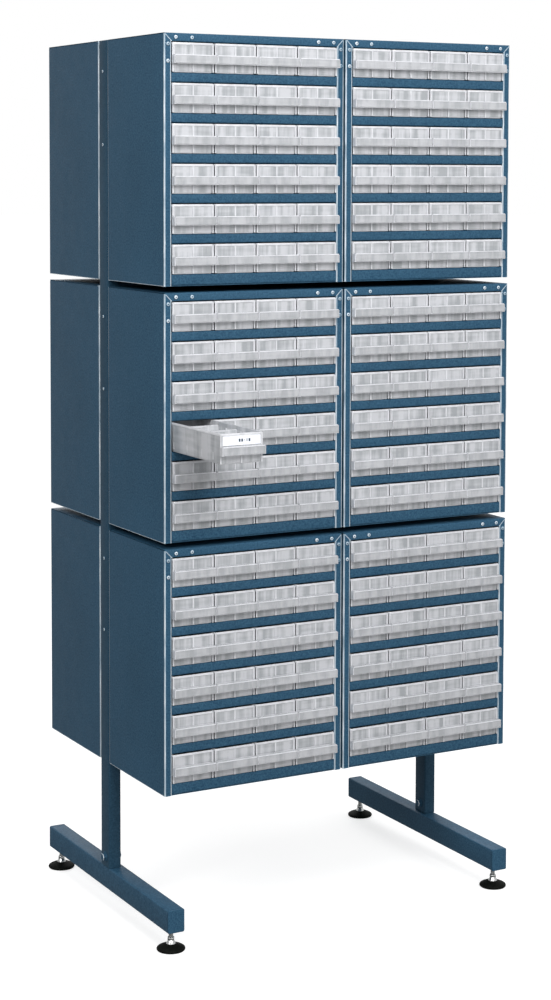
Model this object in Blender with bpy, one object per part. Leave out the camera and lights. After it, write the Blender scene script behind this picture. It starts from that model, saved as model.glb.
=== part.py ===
"""Double-sided stand of small-parts drawer cabinets.

Twelve sheet-steel cabinets hang back to back on a steel stand, three tiers high and two stacks wide.
Each holds six rows of four clear plastic drawers. The front left cabinet of the middle tier has 24
separate sliding drawers, and one of them is pulled out. In each other cabinet the drawers are joined
into one bank. The stand has two uprights, three cross rails, two foot beams and four levelling feet.

Frame: metres, +X to the right, +Y to the rear, +Z up. The floor is z = 0. The origin is the middle of
the base of the bounding box, which the pulled-out drawer moves forward from the middle of the stand.
"""

import math

import bmesh
import bpy
from mathutils import Matrix

# Clearance between parts that touch
GAP = 0.0003

# Cabinet casing of folded sheet
CABINET_WIDTH = 0.357
CABINET_DEPTH = 0.237
CABINET_HEIGHT = 0.435
SHEET = 0.0012
SIDE_FLANGE = 0.014
TOP_FLANGE = 0.0145
LIP_HEIGHT = 0.016
OPENING_HEIGHT = 0.0534
SHELF_TO_BACK = 0.0045
ROWS = 6
COLUMNS = 4

# Arrangement of the cabinets, and the one with separate drawers
TIERS = ("lower", "middle", "upper")
TIER_PITCH = 0.4465
STACKS = {"left": -1, "right": 1}
STACK_GAP = 0.004
WORKING_CABINET = ("front", "left", "middle")

# Drawer, measured from the cabinet's front plane and the top of its shelf
TRAY_PLAY = 0.0036
TRAY_LENGTH = 0.2245
TRAY_HEIGHT = 0.0515
TRAY_WALL = 0.0016
TRAY_PROUD = 0.001
LEDGE_PLAY = 0.0008
LEDGE_DEPTH = 0.012
LEDGE_BOTTOM = 0.0155
LEDGE_TOP = 0.031
DRAWER_OPEN = 0.180
OPEN_DRAWER = (4, 1)

# Dividers of the open drawer
DIVIDER_THICKNESS = 0.0016
DIVIDER_HEIGHT = 0.044
DIVIDERS = {"front_divider": 0.085, "rear_divider": 0.155}

# Spine that joins the drawers of a bank behind the shelves
SPINE_THICKNESS = 0.002
SPINE_WIDTH = 0.250
SPINE_OVERLAP = 0.001

# Stand of rectangular tube
TUBE_WALL = 0.002
UPRIGHT_WIDTH = 0.024
UPRIGHT_DEPTH = 0.037
RAIL_HEIGHT = 0.060
RAIL_ABOVE_CABINET = 0.0055
BEAM_WIDTH = 0.032
BEAM_HEIGHT = 0.041
BEAM_OVERHANG = 0.013
LEG_HEIGHT = 0.200

# Levelling foot: pad and spindle in one
PAD_RADIUS = 0.0255
PAD_HEIGHT = 0.018
PAD_SHOULDER = 0.007
PAD_NECK = 0.010
SPINDLE_RADIUS = 0.005
SPINDLE_IN_BEAM = 0.018
SPINDLE_HOLE_RADIUS = 0.0058
FOOT_CLEARANCE = 0.037
FOOT_INSET = 0.022
ROUND_SEGMENTS = 16

# A cutter reaches this far past the face that it opens
CUT_PAST = 0.010

# Sizes and places that follow from those above
ROW_PITCH = OPENING_HEIGHT + LIP_HEIGHT
OPENING_WIDTH = CABINET_WIDTH - 2 * SIDE_FLANGE
DRAWER_PITCH = OPENING_WIDTH / COLUMNS
BEAM_TOP = FOOT_CLEARANCE + BEAM_HEIGHT
CABINET_BASE = BEAM_TOP + LEG_HEIGHT
STAND_TOP = CABINET_BASE + (len(TIERS) - 1) * TIER_PITCH + CABINET_HEIGHT
STAND_WIDTH = 2 * CABINET_WIDTH + STACK_GAP
STAND_DEPTH = 2 * CABINET_DEPTH + UPRIGHT_DEPTH + 2 * GAP
BEAM_LENGTH = STAND_DEPTH + 2 * BEAM_OVERHANG
FRONT_REACH = STAND_DEPTH / 2 + TRAY_PROUD + LEDGE_DEPTH + DRAWER_OPEN
STAND_Y = (FRONT_REACH - BEAM_LENGTH / 2) / 2


def remove_everything():
    """Empty the scene."""
    for item in list(bpy.data.objects):
        bpy.data.objects.remove(item, do_unlink=True)


def plain_material(name, colour, roughness, metallic=0.0, alpha=1.0):
    """Principled material of one colour."""
    surface = bpy.data.materials.new(name)
    surface.use_nodes = True
    shader = surface.node_tree.nodes["Principled BSDF"]
    shader.inputs["Base Color"].default_value = (*colour, 1.0)
    shader.inputs["Roughness"].default_value = roughness
    shader.inputs["Metallic"].default_value = metallic
    shader.inputs["Alpha"].default_value = alpha
    return surface


def add_block(bm, low, high):
    """Add a box between two corners to a bmesh."""
    size = [b - a for a, b in zip(low, high)]
    middle = [(a + b) / 2 for a, b in zip(low, high)]
    place = Matrix.Translation(middle) @ Matrix.Diagonal((*size, 1.0))
    bmesh.ops.create_cube(bm, size=1.0, matrix=place)


def new_object(name, bm):
    """Turn a bmesh into an object of the scene."""
    bmesh.ops.recalc_face_normals(bm, faces=bm.faces)
    mesh = bpy.data.meshes.new(name)
    bm.to_mesh(mesh)
    bm.free()
    piece = bpy.data.objects.new(name, mesh)
    bpy.context.collection.objects.link(piece)
    return piece


def blocks(name, corners):
    """One object made of boxes, each given by its low and high corner."""
    bm = bmesh.new()
    for low, high in corners:
        add_block(bm, low, high)
    return new_object(name, bm)


def boolean(target, operation, tool):
    """Cut or join a piece with a tool, which is only a guide and no part of the model."""
    tool.hide_render = True
    tool.display_type = "WIRE"
    step = target.modifiers.new(tool.name, "BOOLEAN")
    step.operation = operation
    step.solver = "EXACT"
    step.object = tool


def take_mesh(piece, surface):
    """The finished mesh of a piece, for its copies to share. The piece itself becomes a guide."""
    graph = bpy.context.evaluated_depsgraph_get()
    mesh = bpy.data.meshes.new_from_object(piece.evaluated_get(graph))
    mesh.materials.append(surface)
    piece.hide_render = True
    piece.display_type = "WIRE"
    return mesh


def place_copy(name, mesh, location, parent=None):
    """A copy that shares a mesh, at a location in its parent's frame."""
    piece = bpy.data.objects.new(name, mesh)
    bpy.context.collection.objects.link(piece)
    piece.parent = parent
    piece.location = location
    return piece


def row_floor(row):
    """Top of a row's shelf above the cabinet's base. Row 1 is the top row."""
    return CABINET_HEIGHT - TOP_FLANGE - OPENING_HEIGHT - (row - 1) * ROW_PITCH


def drawer_middle(column):
    """Middle of a drawer's column from the cabinet's middle. Column 1 is on the left."""
    return (column - (COLUMNS + 1) / 2) * DRAWER_PITCH


def casing_mesh(surface):
    """Casing with shelves and front lips. Its origin is the middle of the front's lower edge."""
    half = CABINET_WIDTH / 2
    inside = half - SHEET
    back = CABINET_DEPTH - SHEET
    shelf_end = back - SHELF_TO_BACK
    blank = blocks("casing_blank", [((-half, 0, 0), (half, CABINET_DEPTH, CABINET_HEIGHT))])
    hollows = []
    windows = []
    for row in range(1, ROWS + 1):
        floor = row_floor(row)
        ceiling = CABINET_HEIGHT - SHEET if row == 1 else floor + ROW_PITCH - SHEET
        hollows.append(((-inside, SHEET, floor), (inside, shelf_end, ceiling)))
        corner = OPENING_WIDTH / 2
        windows.append(((-corner, -CUT_PAST, floor), (corner, CUT_PAST, floor + OPENING_HEIGHT)))
    hollows.append(((-inside, SHEET, SHEET), (inside, shelf_end, row_floor(ROWS) - SHEET)))
    boolean(blank, "DIFFERENCE", blocks("row_hollows", hollows))
    rear_slot = ((-inside, shelf_end - SHEET, SHEET), (inside, back, CABINET_HEIGHT - SHEET))
    boolean(blank, "DIFFERENCE", blocks("slot_behind_shelves", [rear_slot]))
    boolean(blank, "DIFFERENCE", blocks("front_windows", windows))
    return take_mesh(blank, surface)


def tray_corners(half_width, floor):
    """Outer box of a drawer, or of a row of drawers, on a shelf."""
    bottom = floor + GAP
    return (-half_width, -TRAY_PROUD, bottom), (half_width, TRAY_LENGTH, bottom + TRAY_HEIGHT)


def ledge_corners(half_width, floor):
    """Pull ledge along the front of a drawer, or of a row of drawers."""
    low = (-half_width, -TRAY_PROUD - LEDGE_DEPTH, floor + LEDGE_BOTTOM)
    return low, (half_width, TRAY_WALL - TRAY_PROUD, floor + LEDGE_TOP)


def pocket_corners(middle, floor):
    """Hollow of one drawer, open at the top."""
    half = (DRAWER_PITCH - TRAY_PLAY) / 2 - TRAY_WALL
    low = (middle - half, TRAY_WALL - TRAY_PROUD, floor + GAP + TRAY_WALL)
    return low, (middle + half, TRAY_LENGTH - TRAY_WALL, floor + TRAY_HEIGHT + CUT_PAST / 2)


def drawer_mesh(surface):
    """One drawer. Its origin is the middle of the cabinet's front plane at the shelf's top."""
    tray = blocks("drawer_blank", [tray_corners((DRAWER_PITCH - TRAY_PLAY) / 2, 0)])
    ledge = ledge_corners((DRAWER_PITCH - LEDGE_PLAY) / 2, 0)
    boolean(tray, "UNION", blocks("drawer_ledge", [ledge]))
    boolean(tray, "DIFFERENCE", blocks("drawer_pocket", [pocket_corners(0, 0)]))
    return take_mesh(tray, surface)


def bank_mesh(surface):
    """All 24 drawers of a closed cabinet, joined side by side and by a spine behind the shelves."""
    floors = [row_floor(row) for row in range(1, ROWS + 1)]
    columns = [drawer_middle(column) for column in range(1, COLUMNS + 1)]
    tray_half = (OPENING_WIDTH - TRAY_PLAY) / 2
    ledge_half = (OPENING_WIDTH - LEDGE_PLAY) / 2
    bank = blocks("bank_blank", [tray_corners(tray_half, floor) for floor in floors])
    ledges = [ledge_corners(ledge_half, floor) for floor in floors]
    boolean(bank, "UNION", blocks("bank_ledges", ledges))
    spine_end = CABINET_DEPTH - SHEET - SHELF_TO_BACK / 2 + SPINE_THICKNESS / 2
    links = []
    for floor in floors:
        low = (-SPINE_WIDTH / 2, TRAY_LENGTH - SPINE_OVERLAP, floor + LEDGE_BOTTOM)
        links.append((low, (SPINE_WIDTH / 2, spine_end, floor + LEDGE_TOP)))
    boolean(bank, "UNION", blocks("bank_links", links))
    spine_low = (-SPINE_WIDTH / 2, spine_end - SPINE_THICKNESS, floors[-1] + LEDGE_BOTTOM)
    spine_high = (SPINE_WIDTH / 2, spine_end, floors[0] + LEDGE_TOP)
    boolean(bank, "UNION", blocks("bank_spine", [(spine_low, spine_high)]))
    pockets = [pocket_corners(middle, floor) for floor in floors for middle in columns]
    boolean(bank, "DIFFERENCE", blocks("bank_pockets", pockets))
    return take_mesh(bank, surface)


def divider_mesh(surface):
    """Plate that stands across a drawer. Its origin is under the middle of its front face."""
    half = (DRAWER_PITCH - TRAY_PLAY) / 2 - TRAY_WALL - GAP
    bottom = TRAY_WALL + 2 * GAP
    plate = ((-half, 0, bottom), (half, DIVIDER_THICKNESS, bottom + DIVIDER_HEIGHT))
    return take_mesh(blocks("divider_blank", [plate]), surface)


def make_cabinets(paint, clear_plastic):
    """The twelve cabinets and what is in them, each in the frame of its own empty."""
    casing = casing_mesh(paint)
    bank = bank_mesh(clear_plastic)
    for side in ("front", "rear"):
        for stack, sign in STACKS.items():
            for level, tier in enumerate(TIERS):
                name = f"{side}_{stack}_{tier}"
                frame = bpy.data.objects.new(f"{name}_frame", None)
                bpy.context.collection.objects.link(frame)
                turn = math.pi if side == "rear" else 0.0
                depth = STAND_DEPTH / 2 if side == "rear" else -STAND_DEPTH / 2
                across = sign * (CABINET_WIDTH + STACK_GAP) / 2
                frame.location = (across, STAND_Y + depth, CABINET_BASE + level * TIER_PITCH)
                frame.rotation_euler = (0, 0, turn)
                place_copy(f"{name}_casing", casing, (0, 0, 0), frame)
                if (side, stack, tier) == WORKING_CABINET:
                    make_sliding_drawers(frame, clear_plastic)
                else:
                    place_copy(f"{name}_drawers", bank, (0, 0, 0), frame)


def make_sliding_drawers(frame, clear_plastic):
    """The 24 separate drawers of the working cabinet, one of them pulled out with its dividers."""
    drawer = drawer_mesh(clear_plastic)
    divider = divider_mesh(clear_plastic)
    for row in range(1, ROWS + 1):
        for column in range(1, COLUMNS + 1):
            pulled = DRAWER_OPEN if (row, column) == OPEN_DRAWER else 0.0
            place = (drawer_middle(column), -pulled, row_floor(row))
            made = place_copy(f"drawer_row{row}_col{column}", drawer, place, frame)
            if pulled:
                for name, setback in DIVIDERS.items():
                    place_copy(name, divider, (0, setback, 0), made)


def tube(name, low, high, open_low, open_high, surface):
    """Rectangular tube between two corners. Open ends are given as an axis number or None."""
    piece = blocks(name, [(low, high)])
    core_low = [value + TUBE_WALL for value in low]
    core_high = [value - TUBE_WALL for value in high]
    if open_low is not None:
        core_low[open_low] = low[open_low] - CUT_PAST
    if open_high is not None:
        core_high[open_high] = high[open_high] + CUT_PAST
    boolean(piece, "DIFFERENCE", blocks(f"{name}_core", [(core_low, core_high)]))
    piece.data.materials.append(surface)
    return piece


def cylinder_along_z(name, radius, low, high, x, y):
    """Upright cylinder between two heights."""
    bm = bmesh.new()
    place = Matrix.Translation((x, y, (low + high) / 2))
    bmesh.ops.create_cone(
        bm,
        cap_ends=True,
        segments=ROUND_SEGMENTS,
        radius1=radius,
        radius2=radius,
        depth=high - low,
        matrix=place,
    )
    return new_object(name, bm)


def foot_places():
    """Name and place of each levelling foot."""
    x = STAND_WIDTH / 2 - BEAM_WIDTH / 2
    y = BEAM_LENGTH / 2 - FOOT_INSET
    for end, along in (("front", -1), ("rear", 1)):
        for stack, sign in STACKS.items():
            yield f"{end}_{stack}", sign * x, STAND_Y + along * y


def make_stand(paint):
    """Uprights, cross rails and foot beams."""
    outer = STAND_WIDTH / 2
    inner = outer - UPRIGHT_WIDTH
    near = STAND_Y - UPRIGHT_DEPTH / 2
    far = STAND_Y + UPRIGHT_DEPTH / 2
    beam_near = STAND_Y - BEAM_LENGTH / 2
    beam_far = STAND_Y + BEAM_LENGTH / 2
    for stack, sign in STACKS.items():
        low_x, high_x = sorted((sign * outer, sign * inner))
        foot_of_upright = (low_x, near, BEAM_TOP + GAP)
        top_of_upright = (high_x, far, STAND_TOP)
        tube(f"{stack}_upright", foot_of_upright, top_of_upright, 2, None, paint)
        low_x, high_x = sorted((sign * outer, sign * (outer - BEAM_WIDTH)))
        beam_low = (low_x, beam_near, FOOT_CLEARANCE)
        beam_high = (high_x, beam_far, BEAM_TOP)
        beam = tube(f"{stack}_foot_beam", beam_low, beam_high, None, None, paint)
        for name, x, y in foot_places():
            if name.endswith(stack):
                top = FOOT_CLEARANCE + 2 * TUBE_WALL
                hole = (FOOT_CLEARANCE - CUT_PAST, top, x, y)
                boolean(beam, "DIFFERENCE", cylinder_along_z(f"{name}_hole", SPINDLE_HOLE_RADIUS, *hole))
    for level, tier in enumerate(TIERS):
        top = CABINET_BASE + level * TIER_PITCH + CABINET_HEIGHT
        if level < len(TIERS) - 1:
            top += RAIL_ABOVE_CABINET
        low = (-inner + GAP, near, top - RAIL_HEIGHT)
        high = (inner - GAP, far, top)
        tube(f"{tier}_cross_rail", low, high, 0, 0, paint)


def foot_mesh(rubber):
    """Round pad with a domed top and the spindle on it, turned about the joint's axis."""
    top = FOOT_CLEARANCE + SPINDLE_IN_BEAM
    shoulder_drop = PAD_HEIGHT - PAD_SHOULDER
    profile = [(0, top), (SPINDLE_RADIUS, top), (SPINDLE_RADIUS, PAD_HEIGHT), (PAD_NECK, PAD_HEIGHT)]
    for step in (1, 2, 3):
        angle = step / 3 * math.pi / 2
        reach = PAD_NECK + (PAD_RADIUS - PAD_NECK) * math.sin(angle)
        profile.append((reach, PAD_SHOULDER + shoulder_drop * math.cos(angle)))
    profile += [(PAD_RADIUS, 0), (0, 0)]
    bm = bmesh.new()
    corners = [bm.verts.new((radius, 0, height)) for radius, height in profile]
    edges = [bm.edges.new(pair) for pair in zip(corners, corners[1:])]
    bmesh.ops.spin(
        bm,
        geom=corners + edges,
        cent=(0, 0, 0),
        axis=(0, 0, 1),
        angle=2 * math.pi,
        steps=ROUND_SEGMENTS,
        use_merge=True,
    )
    bmesh.ops.remove_doubles(bm, verts=bm.verts, dist=1e-6)
    return take_mesh(new_object("foot_blank", bm), rubber)


def make_feet(rubber):
    """The four levelling feet."""
    mesh = foot_mesh(rubber)
    mesh.shade_smooth()
    mesh.set_sharp_from_angle(angle=math.radians(40))
    for name, x, y in foot_places():
        place_copy(f"{name}_levelling_foot", mesh, (x, y, 0))


def main():
    """Build the whole stand."""
    remove_everything()
    paint = plain_material("blue_paint", (0.033, 0.085, 0.14), 0.45)
    clear_plastic = plain_material("clear_plastic", (0.62, 0.64, 0.66), 0.2, alpha=0.6)
    rubber = plain_material("black_rubber", (0.006, 0.007, 0.006), 0.6)
    make_cabinets(paint, clear_plastic)
    make_stand(paint)
    make_feet(rubber)


main()
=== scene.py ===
"""Looks of the double-sided stand of small-parts drawer cabinets.

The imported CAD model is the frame. Casings, drawers, tubes and feet get detailed pieces that stand for
the plain CAD nodes, in the same places. Sizes are in metres, +Z up.
"""

import math

import bmesh
import bpy
from mathutils import Matrix, Vector


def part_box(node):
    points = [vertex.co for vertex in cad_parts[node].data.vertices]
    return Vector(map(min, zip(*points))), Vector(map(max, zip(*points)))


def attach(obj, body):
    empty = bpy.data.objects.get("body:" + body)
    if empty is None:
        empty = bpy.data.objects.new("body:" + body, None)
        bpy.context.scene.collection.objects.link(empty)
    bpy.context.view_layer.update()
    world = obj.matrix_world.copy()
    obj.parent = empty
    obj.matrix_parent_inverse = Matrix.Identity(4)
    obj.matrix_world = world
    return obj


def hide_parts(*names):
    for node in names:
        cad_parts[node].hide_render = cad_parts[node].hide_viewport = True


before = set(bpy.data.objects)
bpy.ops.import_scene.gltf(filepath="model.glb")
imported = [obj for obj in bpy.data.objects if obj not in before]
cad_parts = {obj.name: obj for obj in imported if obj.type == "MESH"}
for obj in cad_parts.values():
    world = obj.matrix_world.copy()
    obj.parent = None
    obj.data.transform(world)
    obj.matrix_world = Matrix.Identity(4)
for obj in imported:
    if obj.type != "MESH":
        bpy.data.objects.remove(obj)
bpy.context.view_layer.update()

# ---------------------------------------------------------------- sizes read from the frame
SIDES = ("front", "rear")
STACKS = ("left", "right")
TIERS = ("lower", "middle", "upper")
WORKING = "front_left_middle"
ROWS = range(1, 7)
COLUMNS = range(1, 5)
OPEN_ROW, OPEN_COLUMN = 4, 1
GAP = 0.0003

casing_low, casing_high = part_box(f"{WORKING}_casing")
casing_size = casing_high - casing_low
CABINET_HALF = casing_size.x / 2
CABINET_DEPTH = casing_size.y
CABINET_HEIGHT = casing_size.z
casing_middle_x = (casing_low.x + casing_high.x) / 2


def drawer_box(row, column):
    """CAD box of one sliding drawer."""
    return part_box(f"drawer_row{row}_col{column}")


def drawer_middle(column):
    """Middle of a drawer column from the cabinet's middle."""
    low, high = drawer_box(1, column)
    return (low.x + high.x) / 2 - casing_middle_x


def row_floor(row):
    """Top of a row's shelf above the cabinet's base."""
    return drawer_box(row, 2)[0].z - GAP - casing_low.z


first_low, first_high = drawer_box(1, 1)
DRAWER_TOP = first_high.z - first_low.z + GAP
DRAWER_HALF = (first_high.x - first_low.x) / 2
DRAWER_FRONT = first_low.y - casing_low.y
DRAWER_REAR = first_high.y - casing_low.y
DRAWER_PITCH = drawer_middle(2) - drawer_middle(1)
PULLED_OUT = first_low.y - drawer_box(OPEN_ROW, OPEN_COLUMN)[0].y
OPENING_HALF = 2 * DRAWER_PITCH

# ---------------------------------------------------------------- details of the casing
SHEET = 0.0012
BEND_RADIUS = 0.0022
BEND_STEPS = 4
LIP_HEIGHT = 0.016
SIDE_FLANGE = CABINET_HALF - OPENING_HALF
TOP_FLANGE = 0.0145
FLANGE_RETURN = 0.009
LIP_HEM = 0.006
LIP_SETBACK = 0.0008
MITRE_GAP = 0.0006
MITRE_BEAD = 0.0007
LOWER_BEAD = 0.0009
BEAD_PROUD = 0.0002
REAR_BEND = 0.0034
PANEL_CORNER = 0.0005
PANEL_MARGIN = 0.018
PRESSED_DEPTH = 0.0006
SHELF_REAR = 0.2313
GUIDE_FRONT = 0.010
GUIDE_REAR = 0.200
GUIDE_HEIGHT = 0.003
GUIDE_HALF = 0.0008
RIVET_RADIUS = 0.0040
RIVET_RISE = 0.0021
RIVET_STEPS = 5
RIVETS_ALONG_TOP = (0.022, 0.053)
RIVETS_DOWN_SIDE = (0.019, 0.048)

# ---------------------------------------------------------------- details of the drawer
WALL_HALF = DRAWER_HALF - 0.0014
BODY_FRONT = -0.001
LEDGE_LOW = 0.0155
LEDGE_HIGH = 0.031
LEDGE_WALL = 0.0014
LEDGE_BEVEL = 0.0014
LEDGE_RIB_HALF = 0.0007
DRAFT = 0.0014
CORNER = 0.004
CORNER_STEPS = 4
RIB_DEPTHS = (0.028, 0.071, 0.126, 0.178)
RIB_LOW = 0.006
RIB_DROP = 0.008
RIB_GAP = 0.0028
RIB_THICK = 0.0011
RIB_REACH = 0.0016
FRAME_THICK = 0.0011
FRAME_LOW = 0.0015
CENTRE_RIB_HALF = 0.0015
DIVIDER_CORNER = 0.003
DIVIDER_ROUND = 0.0003
GRIP_SHARE = 0.18
GRIP_HEIGHT = 0.003
GRIP_PROUD = 0.0006
LABEL_HALF = 0.0355
LABEL_PROUD = 0.0010
CARD_THICK = 0.0004
MARK_PITCH = 0.0046
MARK_SIZES = ((0.0030, 0.0050), (0.0030, 0.0050), (0.0022, 0.0010), (0.0012, 0.0050), (0.0030, 0.0050))

# ---------------------------------------------------------------- details of the stand
TUBE_CORNER = 0.0028
CAP_THICK = 0.0022
SEAM_WIDTH = 0.0012
SEAM_DEPTH = 0.0006
UPRIGHT_SCREW_DROPS = (0.056, 0.189)
FOOT_BOLT_HEIGHT = 0.018
BOLT_RADIUS = 0.0068
SCREW_RADIUS = 0.0034
SCREW_SOCKET = 0.0013
SCREW_RISE = 0.0016

# ---------------------------------------------------------------- details of the feet
PAD_TOP = 0.0118
SPINDLE_ROOT = 0.0036
SPINDLE_CREST = 0.0042
THREAD_PITCH = 0.0012

# ---------------------------------------------------------------- light and camera
WORLD_STRENGTH = 0.8
KEY_POWER = 64.0
FILL_POWER = 48.0
REAR_POWER = 45.0
FLOOR_RADIUS = 60.0
FLOOR_GLOW = 0.66
CAMERA_AZIMUTH = 28.741
CAMERA_PITCH = -3.569
CAMERA_ROLL = 0.133
CAMERA_FROM_CORNER = (-1.5400, -3.2061, 1.0920)
FOCAL_SHARE = 2.0682
SENSOR = 36.0
SHIFT = -0.2


# ================================================================ materials
def new_material(name, **values):
    """Material with a Principled shader, its plain values set on the sockets."""
    surface = bpy.data.materials.new(name)
    surface.use_nodes = True
    shader = surface.node_tree.nodes["Principled BSDF"]
    for socket, value in values.items():
        shader.inputs[socket.replace("_", " ")].default_value = value
    return surface, surface.node_tree, shader


def noise(tree, scale, detail=3.0, roughness=0.55, stretch=(1, 1, 1), place=None):
    """Noise over a vector output, by default the piece's own coordinates."""
    if place is None:
        place = tree.nodes.new("ShaderNodeTexCoord").outputs["Object"]
    mapping = tree.nodes.new("ShaderNodeMapping")
    mapping.inputs["Scale"].default_value = stretch
    grain = tree.nodes.new("ShaderNodeTexNoise")
    grain.inputs["Scale"].default_value = scale
    grain.inputs["Detail"].default_value = detail
    grain.inputs["Roughness"].default_value = roughness
    tree.links.new(place, mapping.inputs["Vector"])
    tree.links.new(mapping.outputs["Vector"], grain.inputs["Vector"])
    return grain.outputs["Fac"]


def ramp(tree, fac, stops):
    """Colour ramp through (position, colour) stops."""
    node = tree.nodes.new("ShaderNodeValToRGB")
    elements = node.color_ramp.elements
    for number, (position, colour) in enumerate(stops):
        element = elements[number] if number < 2 else elements.new(position)
        element.position = position
        element.color = (*colour, 1.0)
    tree.links.new(fac, node.inputs["Fac"])
    return node.outputs["Color"]


def multiply_colours(tree, first, second):
    """Product of two colour outputs."""
    node = tree.nodes.new("ShaderNodeMix")
    node.data_type = "RGBA"
    node.blend_type = "MULTIPLY"
    inputs = {socket.name: socket for socket in node.inputs if socket.enabled}
    inputs["Factor"].default_value = 1.0
    tree.links.new(first, inputs["A"])
    tree.links.new(second, inputs["B"])
    return next(socket for socket in node.outputs if socket.enabled)


def bump(tree, shader, height, strength, distance):
    """Bump from a height output."""
    node = tree.nodes.new("ShaderNodeBump")
    node.inputs["Strength"].default_value = strength
    node.inputs["Distance"].default_value = distance
    tree.links.new(height, node.inputs["Height"])
    tree.links.new(node.outputs["Normal"], shader.inputs["Normal"])


def value_range(tree, fac, low, high):
    """Map a 0 to 1 output to a range."""
    node = tree.nodes.new("ShaderNodeMapRange")
    node.inputs["To Min"].default_value = low
    node.inputs["To Max"].default_value = high
    tree.links.new(fac, node.inputs["Value"])
    return node.outputs["Result"]


def painted_steel(name, dark, light):
    """Satin powder coat: a fine mottle in the colour and an orange-peel skin."""
    surface, tree, shader = new_material(name, Specular_IOR_Level=0.12)
    mottle = noise(tree, 330.0, 2.0)
    colour = ramp(tree, mottle, ((0.30, dark), (0.70, light)))
    patches = ramp(tree, noise(tree, 5.0, 2.0), ((0.3, (0.88, 0.88, 0.88)), (0.7, (1.0, 1.0, 1.0))))
    tree.links.new(multiply_colours(tree, colour, patches), shader.inputs["Base Color"])
    tree.links.new(value_range(tree, noise(tree, 40.0), 0.40, 0.56), shader.inputs["Roughness"])
    bump(tree, shader, noise(tree, 620.0, 2.0), 0.35, 0.0004)
    return surface


def painted_edge_highlight(name, stops):
    """Painted highlight along folds, beads and domes: a paler, glossier coat, uneven along the fold."""
    surface, tree, shader = new_material(name, Specular_IOR_Level=0.6)
    highlight_unevenness = noise(tree, 45.0, 4.0, 0.65, (1, 1, 0.25))
    tree.links.new(ramp(tree, highlight_unevenness, stops), shader.inputs["Base Color"])
    tree.links.new(value_range(tree, highlight_unevenness, 0.42, 0.28), shader.inputs["Roughness"])
    bump(tree, shader, noise(tree, 620.0, 2.0), 0.2, 0.0003)
    return surface


def clear_plastic(name, alpha, shade, pale, streak):
    """Moulded clear plastic with mould streaks, and painted streaks that stand for what shows through from
    behind; no two pieces alike.

    Most streaks stand upright, and some lie across. A small value of streak makes long upright ones.
    """
    surface, tree, shader = new_material(name, Alpha=alpha, Roughness=0.2, IOR=1.5)
    place = tree.nodes.new("ShaderNodeTexCoord")
    piece = tree.nodes.new("ShaderNodeObjectInfo")
    shift = tree.nodes.new("ShaderNodeMath")
    shift.operation = "MULTIPLY"
    shift.inputs[1].default_value = 37.0
    tree.links.new(piece.outputs["Random"], shift.inputs[0])
    moved = tree.nodes.new("ShaderNodeVectorMath")
    moved.operation = "ADD"
    tree.links.new(place.outputs["Object"], moved.inputs[0])
    tree.links.new(shift.outputs["Value"], moved.inputs[1])
    upright = (1.0, 0.5, streak)
    across = (0.12, 0.12, 1.0)
    layers = ((75.0, 1.0, upright, 0.6), (330.0, 2.0, upright, 0.2), (130.0, 1.0, across, 0.2))
    total = None
    for scale, detail, stretch, weight in layers:
        grain = noise(tree, scale, detail, 0.5, stretch, moved.outputs["Vector"])
        layer = tree.nodes.new("ShaderNodeMath")
        layer.operation = "MULTIPLY_ADD"
        layer.inputs[1].default_value = weight
        layer.inputs[2].default_value = 0.0
        tree.links.new(grain, layer.inputs[0])
        if total:
            tree.links.new(total, layer.inputs[2])
        total = layer.outputs["Value"]
    colour = ramp(tree, total, ((0.40, shade), (0.58, pale)))
    tree.links.new(colour, shader.inputs["Base Color"])
    bump(tree, shader, noise(tree, 25.0, 2.0), 0.15, 0.0006)
    return surface


def black_rubber():
    """Matt moulded rubber with a fine grain."""
    surface, tree, shader = new_material("black_rubber", Specular_IOR_Level=0.08)
    colour = ramp(tree, noise(tree, 220.0), ((0.3, (0.002, 0.003, 0.002)), (0.7, (0.006, 0.007, 0.006))))
    tree.links.new(colour, shader.inputs["Base Color"])
    tree.links.new(value_range(tree, noise(tree, 90.0), 0.5, 0.75), shader.inputs["Roughness"])
    bump(tree, shader, noise(tree, 900.0, 2.0), 0.4, 0.0003)
    return surface


def zinc_plate():
    """Bright zinc plating with fine turning marks."""
    surface, tree, shader = new_material("zinc_plate", Metallic=1.0)
    marks = noise(tree, 500.0, 2.0, 0.5, (0.1, 0.1, 6))
    colour = ramp(tree, marks, ((0.3, (0.50, 0.52, 0.52)), (0.7, (0.74, 0.75, 0.74))))
    tree.links.new(colour, shader.inputs["Base Color"])
    tree.links.new(value_range(tree, marks, 0.18, 0.34), shader.inputs["Roughness"])
    bump(tree, shader, marks, 0.2, 0.0002)
    return surface


def fibrous(name, dark, light):
    """Card or printed ink with a faint fibre."""
    surface, tree, shader = new_material(name, Roughness=0.8)
    fibre = noise(tree, 400.0, 4.0)
    tree.links.new(ramp(tree, fibre, ((0.3, dark), (0.7, light))), shader.inputs["Base Color"])
    bump(tree, shader, fibre, 0.1, 0.0002)
    return surface


# pale to near-white colours of the painted highlight on bends, beads, rivets and bolt heads
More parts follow.
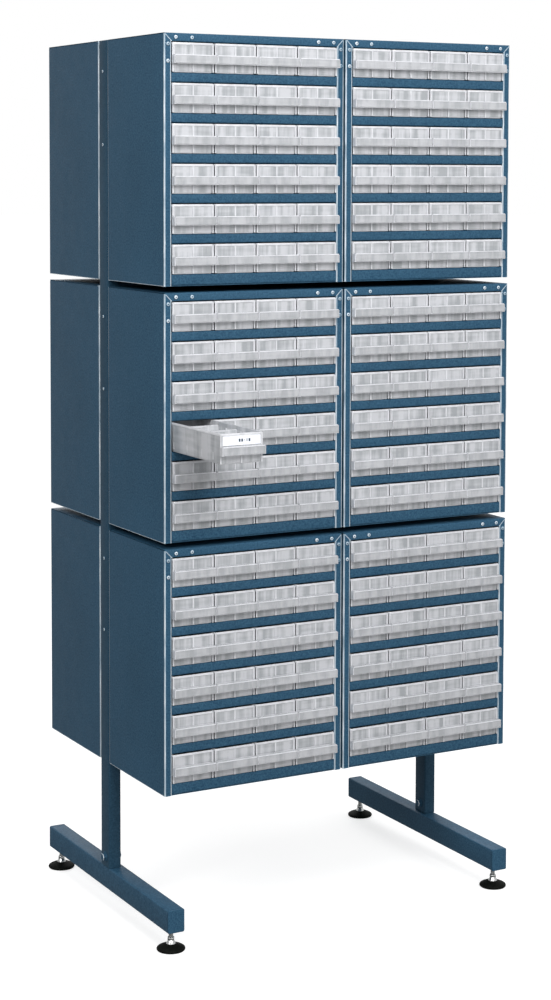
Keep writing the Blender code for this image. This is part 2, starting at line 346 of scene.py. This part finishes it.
HIGHLIGHT_STOPS = ((0.34, (0.24, 0.35, 0.44)), (0.50, (0.50, 0.59, 0.66)), (0.68, (0.78, 0.83, 0.87)))
PAINT = painted_steel("blue_paint", (0.018, 0.063, 0.117), (0.046, 0.124, 0.202))
FRAME_PAINT = painted_steel("frame_paint", (0.018, 0.056, 0.094), (0.032, 0.084, 0.138))
EDGE_HIGHLIGHT = painted_edge_highlight("painted_edge_highlight", HIGHLIGHT_STOPS)
PLASTIC = clear_plastic("clear_plastic", 0.79, (0.44, 0.46, 0.48), (0.68, 0.69, 0.72), 0.06)
PLASTIC_LEDGE = clear_plastic("clear_plastic_ledge", 0.46, (0.58, 0.60, 0.62), (0.76, 0.77, 0.80), 0.2)
# paler, more opaque copy of the clear plastic for rims, ribs and frame strips: the opacity stands for the
# thicker plastic there, and the paler colour is a painted highlight
PLASTIC_RIM_HIGHLIGHT = clear_plastic("clear_plastic_rim_highlight", 0.90, (0.63, 0.64, 0.67), (0.73, 0.74, 0.77), 0.5)
RUBBER = black_rubber()
ZINC = zinc_plate()
CARD = fibrous("paper_card", (0.80, 0.83, 0.90), (0.90, 0.92, 0.96))
INK = fibrous("dark_ink", (0.010, 0.030, 0.055), (0.02, 0.05, 0.085))


# ================================================================ mesh helpers
def finish_mesh(name, bm, materials, angle=32.0):
    """Mesh from a bmesh, shaded smooth but for its sharp edges."""
    bmesh.ops.recalc_face_normals(bm, faces=bm.faces)
    mesh = bpy.data.meshes.new(name)
    bm.to_mesh(mesh)
    bm.free()
    for surface in materials:
        mesh.materials.append(surface)
    mesh.shade_smooth()
    mesh.set_sharp_from_angle(angle=math.radians(angle))
    return mesh


def add_piece(name, mesh, place, body, replaces=()):
    """Piece that shares a mesh, put in place and riding on a body."""
    piece = bpy.data.objects.new(name, mesh)
    bpy.context.scene.collection.objects.link(piece)
    piece.matrix_world = place
    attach(piece, body)
    if replaces:
        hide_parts(*replaces)
    return piece


def add_block(bm, low, high, material=0):
    """Box between two corners."""
    size = [b - a for a, b in zip(low, high)]
    middle = [(a + b) / 2 for a, b in zip(low, high)]
    place = Matrix.Translation(middle) @ Matrix.Diagonal((*size, 1.0))
    made = bmesh.ops.create_cube(bm, size=1.0, matrix=place)["verts"]
    for face in {face for corner in made for face in corner.link_faces}:
        face.material_index = material


def loft(bm, loops, materials=None, caps=True):
    """Closed skin through loops of equally many points. materials gives each band's index."""
    rings = [[bm.verts.new(point) for point in loop] for loop in loops]
    for band, (near, far) in enumerate(zip(rings, rings[1:])):
        for number in range(len(near)):
            following = (number + 1) % len(near)
            corners = (near[number], near[following], far[following], far[number])
            face = bm.faces.new(corners)
            face.material_index = materials[band] if materials else 0
    if caps:
        bm.faces.new(rings[0])
        bm.faces.new(rings[-1])


def rounded_rectangle(low, high, radius, steps=CORNER_STEPS):
    """Points round a rectangle with round corners, in two coordinates."""
    points = []
    centres = (
        (high[0] - radius, high[1] - radius),
        (low[0] + radius, high[1] - radius),
        (low[0] + radius, low[1] + radius),
        (high[0] - radius, low[1] + radius),
    )
    for quarter, (a, b) in enumerate(centres):
        for step in range(steps + 1):
            angle = (quarter + step / steps) * math.pi / 2
            points.append((a + radius * math.cos(angle), b + radius * math.sin(angle)))
    return points


def lathe(bm, profile, segments=32, materials=None, start=0.0):
    """Turned or prismatic shape round the Z axis from a profile of (radius, height), closed at both ends.

    start turns it by that share of a segment.
    """
    rings = []
    for radius, height in profile:
        ring = []
        for step in range(segments):
            angle = (step + start) / segments * 2 * math.pi
            ring.append((radius * math.cos(angle), radius * math.sin(angle), height))
        rings.append(ring)
    loft(bm, rings, materials)


# ================================================================ casing
def folded_outline(inner_end, outer, front, rear, back_fold):
    """Cross-section of a folded sheet: a return, a front flange and a long wall, with round bends.

    Coordinates are (a, b): a runs across the flange from inner_end to outer, b from front to rear. The
    return reaches back_fold behind the front. Gives the points and the segments of each bend.
    """
    outer_side = [(inner_end, front + back_fold)]
    inner_side = [(inner_end + SHEET, front + back_fold)]
    inner_bend = (inner_end + BEND_RADIUS, front + BEND_RADIUS)
    outer_bend = (outer - BEND_RADIUS, front + BEND_RADIUS)
    tight = BEND_RADIUS - SHEET
    bends = []
    for centre, start in ((inner_bend, 180), (outer_bend, 270)):
        first = len(outer_side)
        for step in range(BEND_STEPS + 1):
            angle = math.radians(start + 90 * step / BEND_STEPS)
            across, along = math.cos(angle), math.sin(angle)
            outer_side.append((centre[0] + BEND_RADIUS * across, centre[1] + BEND_RADIUS * along))
            inner_side.append((centre[0] + tight * across, centre[1] + tight * along))
        bends.append(range(first, len(outer_side) - 1))
    outer_side.append((outer, rear))
    inner_side.append((outer - SHEET, rear))
    return outer_side + inner_side[::-1], bends


def extrude_outline(bm, outline, low_of, high_of, point_of, bright=()):
    """Closed solid between two ends that may be cut at an angle."""
    near = [bm.verts.new(point_of(a, b, low_of(a))) for a, b in outline]
    far = [bm.verts.new(point_of(a, b, high_of(a))) for a, b in outline]
    count = len(outline)
    for number in range(count):
        following = (number + 1) % count
        face = bm.faces.new((near[number], near[following], far[following], far[number]))
        # faces listed in bright take material 1, a painted highlight
        face.material_index = 1 if number in bright else 0
    half = count // 2
    for ring in (near, far):
        for number in range(half - 1):
            mate = count - 1 - number
            bm.faces.new((ring[number], ring[number + 1], ring[mate - 1], ring[mate]))


def casing_body_mesh():
    """Folded sides with their front flanges, mitred to the top's flange, and the base sheet.

    A bead along each mitre and along each side's lower edge, and the bends of the sides, carry a painted
    highlight.
    """
    bm = bmesh.new()
    rear = CABINET_DEPTH - REAR_BEND - GAP
    side, bends = folded_outline(OPENING_HALF, CABINET_HALF, 0, rear, FLANGE_RETURN)
    # the bends of the sides carry a painted highlight
    bright = {*bends[0], *bends[1]}

    def side_top(a):
        return CABINET_HEIGHT - max(SHEET, CABINET_HALF - a) - MITRE_GAP / 2

    for sign in (-1, 1):
        extrude_outline(bm, side, lambda a: 0.0, side_top, lambda a, b, z: (sign * a, b, z), bright)
    inner_end = CABINET_HEIGHT - TOP_FLANGE
    top = folded_outline(inner_end, CABINET_HEIGHT, 0, rear, FLANGE_RETURN)[0]

    def top_end(a):
        return CABINET_HALF - (CABINET_HEIGHT - a) - (MITRE_GAP / 2 if a < CABINET_HEIGHT - SHEET else 0)

    extrude_outline(bm, top, lambda a: -top_end(a), top_end, lambda a, b, x: (x, b, a))
    # a bead along each mitre, in the painted highlight
    from_corner = (BEND_RADIUS + TOP_FLANGE) / 2
    half = (TOP_FLANGE - BEND_RADIUS) / math.sqrt(2)
    for sign in (-1, 1):
        start = len(bm.verts)
        add_block(bm, (-half, -MITRE_BEAD / 2, -MITRE_BEAD), (half, MITRE_BEAD, MITRE_BEAD), 1)
        bm.verts.ensure_lookup_table()
        middle = Vector((sign * (CABINET_HALF - from_corner), 0, CABINET_HEIGHT - from_corner))
        turn = Matrix.Translation(middle) @ Matrix.Rotation(math.radians(-45 * sign), 4, "Y")
        bmesh.ops.transform(bm, matrix=turn, verts=bm.verts[start:])
    inside = CABINET_HALF - SHEET - GAP
    add_block(bm, (-inside, BEND_RADIUS, 0), (inside, rear, SHEET))
    # a bead along each side's lower edge, in the painted highlight
    for sign in (-1, 1):
        near, far = sorted((sign * (CABINET_HALF - SHEET / 2), sign * (CABINET_HALF + BEAD_PROUD)))
        add_block(bm, (near, BEND_RADIUS, BEAD_PROUD), (far, rear, LOWER_BEAD), 1)
    return finish_mesh("casing_body", bm, (PAINT, EDGE_HIGHLIGHT))


def back_panel_mesh():
    """Back panel: a pan with a round bend at its edge and a shallow pressed field."""
    bm = bmesh.new()
    low = (-CABINET_HALF, 0)
    high = (CABINET_HALF, CABINET_HEIGHT)
    pressed = CABINET_DEPTH - PRESSED_DEPTH
    sections = [(SHEET, CABINET_DEPTH - REAR_BEND), (0, CABINET_DEPTH - REAR_BEND)]
    for step in range(1, BEND_STEPS + 1):
        angle = step / BEND_STEPS * math.pi / 2
        inset = REAR_BEND * (1 - math.cos(angle))
        sections.append((inset, CABINET_DEPTH - REAR_BEND * (1 - math.sin(angle))))
    sections += [(PANEL_MARGIN, CABINET_DEPTH), (PANEL_MARGIN + 0.002, pressed)]
    sections += [(PANEL_MARGIN + 0.003, pressed - SHEET), (SHEET * 2, CABINET_DEPTH - SHEET * 2)]
    loops = []
    for inset, y in sections:
        inset_low = [v + inset for v in low]
        inset_high = [v - inset for v in high]
        corners = rounded_rectangle(inset_low, inset_high, PANEL_CORNER, 2)
        loops.append([(x, y, z) for x, z in corners])
    # the rear bend carries a painted highlight
    bright = range(1, 1 + BEND_STEPS)
    loft(bm, loops + loops[:1], [1 if band in bright else 0 for band in range(len(loops))], caps=False)
    field = loops[-3]
    loft(bm, [[(x, y, z) for x, _, z in field] for y in (pressed, pressed - SHEET)])
    return finish_mesh("back_panel", bm, (PAINT, EDGE_HIGHLIGHT))


def shelves_mesh():
    """Six shelves, each folded down into a front lip with a hem, and drawer guides on top."""
    bm = bmesh.new()
    half = OPENING_HALF - GAP
    for row in ROWS:
        floor = row_floor(row)
        lip_low = floor - LIP_HEIGHT if row < ROWS[-1] else SHEET + GAP
        outline = folded_outline(lip_low, floor, LIP_SETBACK, SHELF_REAR, LIP_HEM)[0]
        extrude_outline(bm, outline, lambda a: -half, lambda a: half, lambda a, b, x: (x, b, a))
        for boundary in (-1, 0, 1):
            middle = boundary * DRAWER_PITCH
            low = (middle - GUIDE_HALF, GUIDE_FRONT, floor - GAP)
            add_block(bm, low, (middle + GUIDE_HALF, GUIDE_REAR, floor + GUIDE_HEIGHT))
    return finish_mesh("shelves", bm, (PAINT,))


def rivets_mesh():
    """Domed rivets in the upper corners of the front: two along the top flange, two down each side."""
    bm = bmesh.new()
    profile = [(0.0001, RIVET_RISE)]
    for step in range(1, RIVET_STEPS + 1):
        angle = step / RIVET_STEPS * math.pi / 2
        profile.append((RIVET_RADIUS * math.sin(angle), RIVET_RISE * math.cos(angle)))
    profile.append((RIVET_RADIUS, -SHEET))
    places = []
    for sign in (-1, 1):
        for inset in RIVETS_ALONG_TOP:
            places.append((sign * (CABINET_HALF - inset), CABINET_HEIGHT - TOP_FLANGE / 2))
        for drop in RIVETS_DOWN_SIDE:
            places.append((sign * (CABINET_HALF - SIDE_FLANGE / 2), CABINET_HEIGHT - drop))
    for x, z in places:
        start = len(bm.verts)
        # a ring near the top of each dome carries a painted highlight, the rest is blue paint
        lathe(bm, profile, 16, (0, 1, 1, 0, 0, 0))
        bm.verts.ensure_lookup_table()
        turn = Matrix.Translation((x, 0, z)) @ Matrix.Rotation(math.radians(90), 4, "X")
        bmesh.ops.transform(bm, matrix=turn, verts=bm.verts[start:])
    return finish_mesh("rivets", bm, (PAINT, EDGE_HIGHLIGHT))


# ================================================================ drawer
def drawer_mesh():
    """Clear drawer: drafted walls with a rolled rim, pairs of divider ribs and a hollow pull ledge."""
    bm = bmesh.new()

    def level(inset, z):
        corner = max(0.0006, CORNER - inset)
        low = (-WALL_HALF + inset, BODY_FRONT + inset)
        high = (WALL_HALF - inset, DRAWER_REAR - inset)
        return [(x, y, z) for x, y in rounded_rectangle(low, high, corner)]

    top = DRAWER_TOP
    # from the floor's underside up the outside, over the rim and down the inside to the floor
    skin = (
        level(DRAFT + 0.0030, GAP),
        level(DRAFT + 0.0012, GAP + 0.0005),
        level(DRAFT + 0.0003, GAP + 0.0018),
        level(DRAFT, GAP + 0.0040),
        level(0.0002, top - 0.0045),
        level(-0.0007, top - 0.0036),
        level(-0.0007, top - 0.0008),
        level(-0.0002, top),
        level(0.0012, top),
        level(0.0016, top - 0.0007),
        level(DRAFT + 0.0014, GAP + 0.0044),
        level(DRAFT + 0.0024, GAP + 0.0024),
        level(DRAFT + 0.0042, GAP + 0.0017),
    )
    # bands in material 1 take the rim plastic with its painted highlight
    loft(bm, skin, (1, 1, 0, 0, 1, 1, 1, 1, 1, 0, 1, 0))
    add_front_frame(bm)
    # the divider ribs take the rim plastic with its painted highlight
    for sign in (-1, 1):
        near, far = sorted((sign * (WALL_HALF - 0.0010), sign * (WALL_HALF - DRAFT - RIB_REACH)))
        for depth in RIB_DEPTHS:
            for step in (-1, 1):
                y = depth + step * RIB_GAP / 2
                low = (near, y - RIB_THICK / 2, RIB_LOW)
                add_block(bm, low, (far, y + RIB_THICK / 2, top - RIB_DROP), 1)
    add_ledge(bm)
    return finish_mesh("drawer", bm, (PLASTIC, PLASTIC_RIM_HIGHLIGHT, PLASTIC_LEDGE))


def add_front_frame(bm):
    """Upright strips at the front wall's ends, a rib down its middle and the label holder's ends."""
    front = BODY_FRONT - 0.0002
    top = DRAWER_TOP - 0.001
    outer = DRAWER_HALF - 0.0008
    # strips, rib and holder ends take the rim plastic with its painted highlight
    for sign in (-1, 1):
        near, far = sorted((sign * outer, sign * (WALL_HALF - 0.0022)))
        add_block(bm, (near, front, FRAME_LOW), (far, front + FRAME_THICK, top), 1)
    for low, high in ((FRAME_LOW, LEDGE_LOW), (LEDGE_HIGH, top)):
        add_block(bm, (-CENTRE_RIB_HALF, front - 0.0003, low), (CENTRE_RIB_HALF, front + 0.0008, high), 1)
    for sign in (-1, 1):
        near, far = sorted((sign * (LABEL_HALF + 0.0003), sign * (LABEL_HALF + 0.0013)))
        add_block(bm, (near, front - 0.0009, LEDGE_HIGH), (far, front + 0.0008, DRAWER_TOP - 0.004), 1)


def add_ledge(bm):
    """Pull ledge across the front: a hollow band open from below, with a rib in the middle."""
    part = bmesh.new()
    add_block(part, (-DRAWER_HALF, DRAWER_FRONT, LEDGE_LOW), (DRAWER_HALF, BODY_FRONT, LEDGE_HIGH), 2)

    def is_rounded(edge):
        return all(v.co.y < BODY_FRONT - 0.001 or v.co.z > LEDGE_HIGH - 0.001 for v in edge.verts)

    rounded = [edge for edge in part.edges if is_rounded(edge)]
    bevelled = bmesh.ops.bevel(
        part, geom=rounded, offset=LEDGE_BEVEL, segments=2, affect="EDGES", clamp_overlap=True
    )
    # the rounded edges take the rim plastic with its painted highlight
    for face in bevelled["faces"]:
        face.material_index = 1
    bottom = min(part.faces, key=lambda face: face.calc_center_median().z)
    bmesh.ops.inset_individual(part, faces=[bottom], thickness=LEDGE_WALL)
    ceiling = bmesh.ops.extrude_discrete_faces(part, faces=[bottom])["faces"][0]
    bmesh.ops.translate(part, verts=ceiling.verts, vec=(0, 0, LEDGE_HIGH - LEDGE_LOW - LEDGE_WALL))
    # the ends take the rim plastic with its painted highlight
    for face in part.faces:
        if abs(face.normal.x) > 0.9:
            face.material_index = 1
    # the rib takes the rim plastic with its painted highlight
    rib_low = (-LEDGE_RIB_HALF, DRAWER_FRONT + 0.001, LEDGE_LOW + 0.001)
    add_block(part, rib_low, (LEDGE_RIB_HALF, BODY_FRONT, LEDGE_HIGH - 0.001), 1)
    # one bmesh can't take in another, so the ledge goes over by way of a mesh
    spare = bpy.data.meshes.new("ledge_part")
    part.to_mesh(spare)
    part.free()
    bm.from_mesh(spare)
    bpy.data.meshes.remove(spare)


def divider_mesh(low, high):
    """Thin divider with rounded corners and a thicker grip in the middle of its top edge."""
    bm = bmesh.new()
    loops = []
    edge = DIVIDER_ROUND
    for inset, y in ((0.0004, low.y), (0, low.y + edge), (0, high.y - edge), (0.0004, high.y)):
        flat_low = (low.x + inset, low.z + inset)
        flat_high = (high.x - inset, high.z - inset)
        flat = rounded_rectangle(flat_low, flat_high, DIVIDER_CORNER)
        loops.append([(x, y, z) for x, z in flat])
    # the edges and the grip take the rim plastic with its painted highlight
    loft(bm, loops, (1, 0, 1))
    grip = (high.x - low.x) * GRIP_SHARE
    middle = (low.x + high.x) / 2
    grip_low = (middle - grip, low.y - GRIP_PROUD, high.z - GRIP_HEIGHT)
    add_block(bm, grip_low, (middle + grip, high.y + GRIP_PROUD, high.z), 1)
    return finish_mesh("divider", bm, (PLASTIC, PLASTIC_RIM_HIGHLIGHT))


def add_cabinets():
    """All twelve cabinets and their 288 drawers."""
    parts = (
        ("shell", casing_body_mesh()),
        ("back_panel", back_panel_mesh()),
        ("shelves", shelves_mesh()),
        ("rivets", rivets_mesh()),
    )
    drawer = drawer_mesh()
    for side in SIDES:
        for stack in STACKS:
            for tier in TIERS:
                name = f"{side}_{stack}_{tier}"
                low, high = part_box(f"{name}_casing")
                middle = (low.x + high.x) / 2
                place = Matrix.Translation((middle, low.y, low.z))
                if side == "rear":
                    place = Matrix.Translation((middle, high.y, low.z)) @ Matrix.Rotation(math.pi, 4, "Z")
                for part, mesh in parts:
                    add_piece(f"{name}_{part}", mesh, place, "stand", (f"{name}_casing",))
                add_drawers(name, drawer, place)


def add_drawers(name, mesh, place):
    """The 24 drawers of one cabinet."""
    for row in ROWS:
        for column in COLUMNS:
            sliding = name == WORKING
            pulled = PULLED_OUT if sliding and (row, column) == (OPEN_ROW, OPEN_COLUMN) else 0.0
            at = place @ Matrix.Translation((drawer_middle(column), -pulled, row_floor(row)))
            node = f"drawer_row{row}_col{column}" if sliding else f"{name}_drawers"
            body = node if sliding else "stand"
            piece = f"{name}_drawer_row{row}_col{column}"
            add_piece(piece, mesh, at, body, (node,))


def add_open_drawer_fittings():
    """Dividers and label card of the pulled-out drawer. The card's marks are plain bars."""
    body = f"drawer_row{OPEN_ROW}_col{OPEN_COLUMN}"
    for node in ("front_divider", "rear_divider"):
        plate = divider_mesh(*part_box(node))
        add_piece(f"{node}_plate", plate, Matrix.Identity(4), body, (node,))
    low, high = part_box(body)
    middle = (low.x + high.x) / 2
    front = low.y - DRAWER_FRONT + BODY_FRONT
    label_low = low.z - GAP + LEDGE_HIGH + 0.0008
    label_high = low.z - GAP + DRAWER_TOP - 0.0040
    bm = bmesh.new()
    flat = rounded_rectangle((middle - LABEL_HALF, label_low), (middle + LABEL_HALF, label_high), 0.0008, 2)
    face = front - LABEL_PROUD
    loft(bm, [[(x, y, z) for x, z in flat] for y in (face + CARD_THICK, face)])
    mark_z = (label_low + label_high) / 2
    for number, (width, height) in enumerate(MARK_SIZES):
        x = middle - 0.004 + number * MARK_PITCH
        mark_low = (x - width / 2, face - 0.00012, mark_z - height / 2)
        add_block(bm, mark_low, (x + width / 2, face + 0.0001, mark_z + height / 2), 1)
    card = finish_mesh("label_card", bm, (CARD, INK))
    add_piece("open_drawer_label_card", card, Matrix.Identity(4), body)


# ================================================================ stand
def tube_mesh(node, axis, cap_seams, paint):
    """Tube with round edges in a CAD node's box, running along an axis, with a seam before each cap."""
    low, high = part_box(node)
    others = [index for index in range(3) if index != axis]
    ends = ((low[axis], 1), (high[axis], -1))
    sections = []
    for end, inward in ends:
        depths = [(0.0, 0.0007), (0.0006, 0.0)]
        if cap_seams:
            seam_end = CAP_THICK + SEAM_WIDTH
            depths += [(CAP_THICK, 0.0), (CAP_THICK + 0.0001, SEAM_DEPTH)]
            depths += [(seam_end - 0.0001, SEAM_DEPTH), (seam_end, 0.0)]
        sections.append([(end + inward * depth, inset) for depth, inset in depths])
    loops = []
    for position, inset in sections[0] + sections[1][::-1]:
        flat_low = [low[index] + inset for index in others]
        flat_high = [high[index] - inset for index in others]
        loop = []
        for pair in rounded_rectangle(flat_low, flat_high, TUBE_CORNER - inset, 3):
            point = [0.0, 0.0, 0.0]
            point[axis] = position
            point[others[0]], point[others[1]] = pair
            loop.append(point)
        loops.append(loop)
    bm = bmesh.new()
    loft(bm, loops)
    return finish_mesh(node, bm, (paint,))


def hex_bolt_mesh():
    """Painted hexagon head on a washer, its axis along +Z and its seat at z = 0."""
    bm = bmesh.new()
    washer = ((0.0095, -0.0002), (0.0095, 0.0011), (0.0090, 0.0014), (0.0050, 0.0014))
    lathe(bm, washer)
    head = [(BOLT_RADIUS, 0.0012), (BOLT_RADIUS, 0.0052)]
    head += [(BOLT_RADIUS * 0.9, 0.0062), (BOLT_RADIUS * 0.5, 0.0063)]
    # the head's chamfer carries a painted highlight ring
    lathe(bm, head, 6, (0, 1, 0), 0.5)
    return finish_mesh("hex_bolt", bm, (PAINT, EDGE_HIGHLIGHT), 25)


def button_screw_mesh():
    """Small button-head screw with a round socket, its axis along +Z."""
    bm = bmesh.new()
    profile = [(SCREW_RADIUS, -0.0002), (SCREW_RADIUS, 0.0002), (SCREW_RADIUS * 0.85, SCREW_RISE * 0.7)]
    profile += [(SCREW_RADIUS * 0.6, SCREW_RISE), (SCREW_SOCKET, SCREW_RISE)]
    profile += [(SCREW_SOCKET, SCREW_RISE * 0.3)]
    # the top of the button head carries a painted highlight
    lathe(bm, profile, 24, (0, 0, 1, 1, 0))
    return finish_mesh("button_screw", bm, (PAINT, EDGE_HIGHLIGHT))


def add_stand():
    """Uprights, rails, beams and their fasteners."""
    bolt = hex_bolt_mesh()
    screw = button_screw_mesh()
    for stack in STACKS:
        sign = -1 if stack == "left" else 1
        for part, axis, seams, paint in (("upright", 2, False, FRAME_PAINT), ("foot_beam", 1, True, PAINT)):
            node = f"{stack}_{part}"
            tube = tube_mesh(node, axis, seams, paint)
            add_piece(f"{node}_tube", tube, Matrix.Identity(4), "stand", (node,))
        low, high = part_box(f"{stack}_upright")
        outer, inner = (low.x, high.x) if sign < 0 else (high.x, low.x)
        middle = (low.y + high.y) / 2
        outward = Matrix.Rotation(math.radians(90 * sign), 4, "Y")
        inward = Matrix.Rotation(math.radians(-90 * sign), 4, "Y")
        bolt_z = low.z + FOOT_BOLT_HEIGHT
        outer_end = Matrix.Translation((outer, middle, bolt_z)) @ outward
        inner_end = Matrix.Translation((inner, middle, bolt_z)) @ inward
        add_piece(f"{stack}_foot_bolt", bolt, outer_end, "stand")
        add_piece(f"{stack}_foot_nut", bolt, inner_end, "stand")
        for tier in TIERS:
            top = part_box(f"front_{stack}_{tier}_casing")[1].z
            for number, drop in enumerate(UPRIGHT_SCREW_DROPS, 1):
                at = Matrix.Translation((outer, middle, top - drop)) @ outward
                add_piece(f"{stack}_{tier}_upright_screw_{number}", screw, at, "stand")
    for tier in TIERS:
        node = f"{tier}_cross_rail"
        tube = tube_mesh(node, 0, False, FRAME_PAINT)
        add_piece(f"{node}_tube", tube, Matrix.Identity(4), "stand", (node,))


def pad_mesh(low, high):
    """Rubber pad: a low flaring cone with a rolled lower edge."""
    radius = (high.x - low.x) / 2
    underside = [(0.0, 0.0008), (0.80, 0.0008), (0.86, 0.0)]
    rolled_edge = [(0.95, 0.0005), (0.99, 0.0017), (1.0, 0.0032), (0.975, 0.0046)]
    cone = [(0.90, 0.0060), (0.78, 0.0075), (0.64, 0.0090), (0.50, 0.0104), (0.40, 0.0115)]
    crown = [(0.36, PAD_TOP), (0.26, PAD_TOP + 0.0003), (0.0, PAD_TOP + 0.0003)]
    shares = underside + rolled_edge + cone + crown
    bm = bmesh.new()
    lathe(bm, [(max(radius * share, 0.0001), height) for share, height in shares], 48)
    return finish_mesh("foot_pad", bm, (RUBBER,), 60)


def spindle_mesh(top):
    """Zinc plated spindle: conical skirt, hexagon, and a thread of separate ridges up to top."""
    bm = bmesh.new()
    skirt = ((0.0078, -0.0008), (0.0086, 0.0002), (0.0080, 0.0016), (0.0056, 0.0058), (0.0048, 0.0070))
    hexagon = ((0.0058, 0.0060), (0.0066, 0.0068), (0.0066, 0.0106), (0.0058, 0.0114))
    lathe(bm, [(radius, PAD_TOP + height) for radius, height in skirt])
    lathe(bm, [(radius, PAD_TOP + height) for radius, height in hexagon], 6)
    base = PAD_TOP + 0.0112
    thread = [(SPINDLE_ROOT, base - 0.0002)]
    turns = int((top - base) / THREAD_PITCH)
    for turn in range(turns):
        height = base + turn * THREAD_PITCH
        thread.append((SPINDLE_ROOT, height))
        thread.append((SPINDLE_CREST, height + THREAD_PITCH * 0.4))
        thread.append((SPINDLE_CREST, height + THREAD_PITCH * 0.6))
    thread.append((SPINDLE_ROOT, base + turns * THREAD_PITCH))
    lathe(bm, thread, 24)
    return finish_mesh("spindle", bm, (ZINC,), 50)


def add_feet():
    """Pads and spindles of the levelling feet."""
    for side in SIDES:
        for stack in STACKS:
            node = f"{side}_{stack}_levelling_foot"
            low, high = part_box(node)
            place = Matrix.Translation(((low.x + high.x) / 2, (low.y + high.y) / 2, low.z))
            pad = pad_mesh(low, high)
            spindle = spindle_mesh(high.z - low.z)
            add_piece(f"{side}_{stack}_foot_pad", pad, place, node, (node,))
            add_piece(f"{side}_{stack}_foot_spindle", spindle, place, node, (node,))


# ================================================================ floor, light and camera
def add_floor():
    """Wide pale floor that glows a little, so that its shadows stay faint."""
    bm = bmesh.new()
    bmesh.ops.create_circle(bm, cap_ends=True, segments=64, radius=FLOOR_RADIUS)
    surface, tree, shader = new_material("pale_floor", Roughness=0.9, Specular_IOR_Level=0.0)
    tone = ramp(tree, noise(tree, 0.7), ((0.3, (0.50, 0.50, 0.50)), (0.7, (0.52, 0.52, 0.52))))
    tree.links.new(tone, shader.inputs["Base Color"])
    shader.inputs["Emission Color"].default_value = (1.0, 1.0, 1.0, 1.0)
    shader.inputs["Emission Strength"].default_value = FLOOR_GLOW
    floor = bpy.data.objects.new("floor", finish_mesh("floor", bm, (surface,)))
    bpy.context.scene.collection.objects.link(floor)
    floor.visible_diffuse = False
    floor.visible_glossy = False


def add_area_light(name, place, target, size, energy):
    """Square soft light that faces a target."""
    data = bpy.data.lights.new(name, "AREA")
    data.shape = "SQUARE"
    data.size = size
    data.energy = energy
    light = bpy.data.objects.new(name, data)
    bpy.context.scene.collection.objects.link(light)
    light.location = place
    light.rotation_euler = (Vector(target) - Vector(place)).to_track_quat("-Z", "Y").to_euler()


def add_world():
    """White backdrop. The surroundings give less light from below and from the stand's left."""
    world = bpy.data.worlds.new("studio")
    world.use_nodes = True
    tree = world.node_tree
    links = tree.links
    direction = tree.nodes.new("ShaderNodeTexCoord")
    parts = tree.nodes.new("ShaderNodeSeparateXYZ")
    links.new(direction.outputs["Generated"], parts.inputs["Vector"])
    factors = []
    for axis, span, levels in (("Z", (-0.35, 0.30), (0.45, 1.0)), ("X", (-0.85, -0.05), (0.6, 1.0))):
        node = tree.nodes.new("ShaderNodeMapRange")
        node.interpolation_type = "SMOOTHSTEP"
        node.inputs["From Min"].default_value = span[0]
        node.inputs["From Max"].default_value = span[1]
        node.inputs["To Min"].default_value = levels[0]
        node.inputs["To Max"].default_value = levels[1]
        links.new(parts.outputs[axis], node.inputs["Value"])
        factors.append(node.outputs["Result"])
    product = tree.nodes.new("ShaderNodeMath")
    product.operation = "MULTIPLY"
    links.new(factors[0], product.inputs[0])
    links.new(factors[1], product.inputs[1])
    strength = tree.nodes.new("ShaderNodeMath")
    strength.operation = "MULTIPLY"
    strength.inputs[1].default_value = WORLD_STRENGTH
    links.new(product.outputs["Value"], strength.inputs[0])
    backdrop = tree.nodes.new("ShaderNodeLightPath")
    brightest = tree.nodes.new("ShaderNodeMath")
    brightest.operation = "MAXIMUM"
    links.new(backdrop.outputs["Is Camera Ray"], brightest.inputs[0])
    links.new(strength.outputs["Value"], brightest.inputs[1])
    tree.nodes["Background"].inputs["Color"].default_value = (1.0, 1.0, 1.0, 1.0)
    links.new(brightest.outputs["Value"], tree.nodes["Background"].inputs["Strength"])
    bpy.context.scene.world = world


def add_light():
    """Soft surroundings, a high key light in front, a weak fill on the left and another behind."""
    add_world()
    add_area_light("key", (-0.3, -2.6, 2.7), (0, -0.1, 1.2), 1.5, KEY_POWER)
    add_area_light("fill", (-3.1, -1.6, 2.9), (-0.3, 0, 1.2), 1.4, FILL_POWER)
    add_area_light("rear_fill", (1.2, 3.0, 2.7), (0, 0.1, 1.2), 1.8, REAR_POWER)


def add_camera():
    """Camera placed from the lower front left corner of the lowest front left casing."""
    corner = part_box("front_left_lower_casing")[0]
    azimuth, pitch, roll = (math.radians(v) for v in (CAMERA_AZIMUTH, CAMERA_PITCH, CAMERA_ROLL))
    flat = Vector((math.sin(azimuth), math.cos(azimuth), 0.0))
    forward = flat * math.cos(pitch) + Vector((0.0, 0.0, math.sin(pitch)))
    level = Vector((math.cos(azimuth), -math.sin(azimuth), 0.0))
    upward = level.cross(forward)
    right = level * math.cos(roll) + upward * math.sin(roll)
    up = upward * math.cos(roll) - level * math.sin(roll)
    data = bpy.data.cameras.new("camera")
    data.sensor_width = SENSOR
    data.lens = FOCAL_SHARE * SENSOR
    data.shift_y = SHIFT
    camera = bpy.data.objects.new("camera", data)
    bpy.context.scene.collection.objects.link(camera)
    axes = Matrix((right, up, -forward)).transposed().to_4x4()
    camera.matrix_world = Matrix.Translation(corner + Vector(CAMERA_FROM_CORNER)) @ axes
    bpy.context.scene.camera = camera


add_camera()
add_cabinets()
add_open_drawer_fittings()
add_stand()
add_feet()
add_floor()
add_light()
bpy.context.scene.view_settings.view_transform = "Standard"
